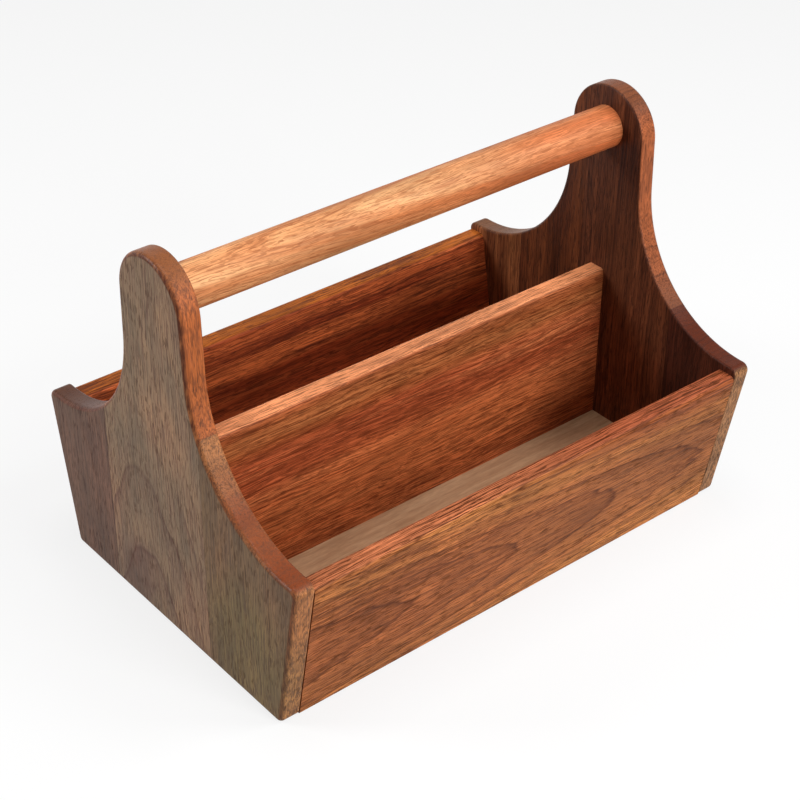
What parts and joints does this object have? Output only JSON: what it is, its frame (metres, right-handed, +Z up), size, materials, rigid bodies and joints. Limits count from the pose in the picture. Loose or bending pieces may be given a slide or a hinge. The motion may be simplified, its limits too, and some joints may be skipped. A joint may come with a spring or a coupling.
{
  "type": "utensil caddy",
  "caption": "Open wooden carry caddy: bottle-shaped ends, leaning boards, a centre divider making two long compartments, and a round handle across the top.",
  "frame": {"origin": "middle of the footprint, on the surface the caddy stands on", "axes": "+X along the handle, towards the right end; -Y is the front; +Z up"},
  "size_m": [0.35, 0.2462, 0.25],
  "materials": {
    "acacia_dark": "satin oil",
    "acacia_grey": "satin oil",
    "acacia_orange": "satin oil",
    "acacia_red": "satin oil",
    "plywood": "bare, sanded",
    "acacia_light": "satin oil",
    "dowel_pin": "bare, sanded"
  },
  "bodies": {
    "root": {"left_end_stave_back": "acacia_dark", "left_end_stave_middle": "acacia_grey", "left_end_stave_front": "acacia_grey", "right_end_stave_back": "acacia_grey", "right_end_stave_rear_middle": "acacia_dark", "right_end_stave_front_middle": "acacia_dark", "right_end_stave_front": "acacia_dark", "front_board": "acacia_orange", "back_board": "acacia_orange", "center_divider": "acacia_red", "base_panel": "plywood", "handle_dowel": "acacia_light", "front_board_pins": "dowel_pin", "back_board_pins": "dowel_pin", "divider_pins": "dowel_pin"}
  },
  "joints": []
}
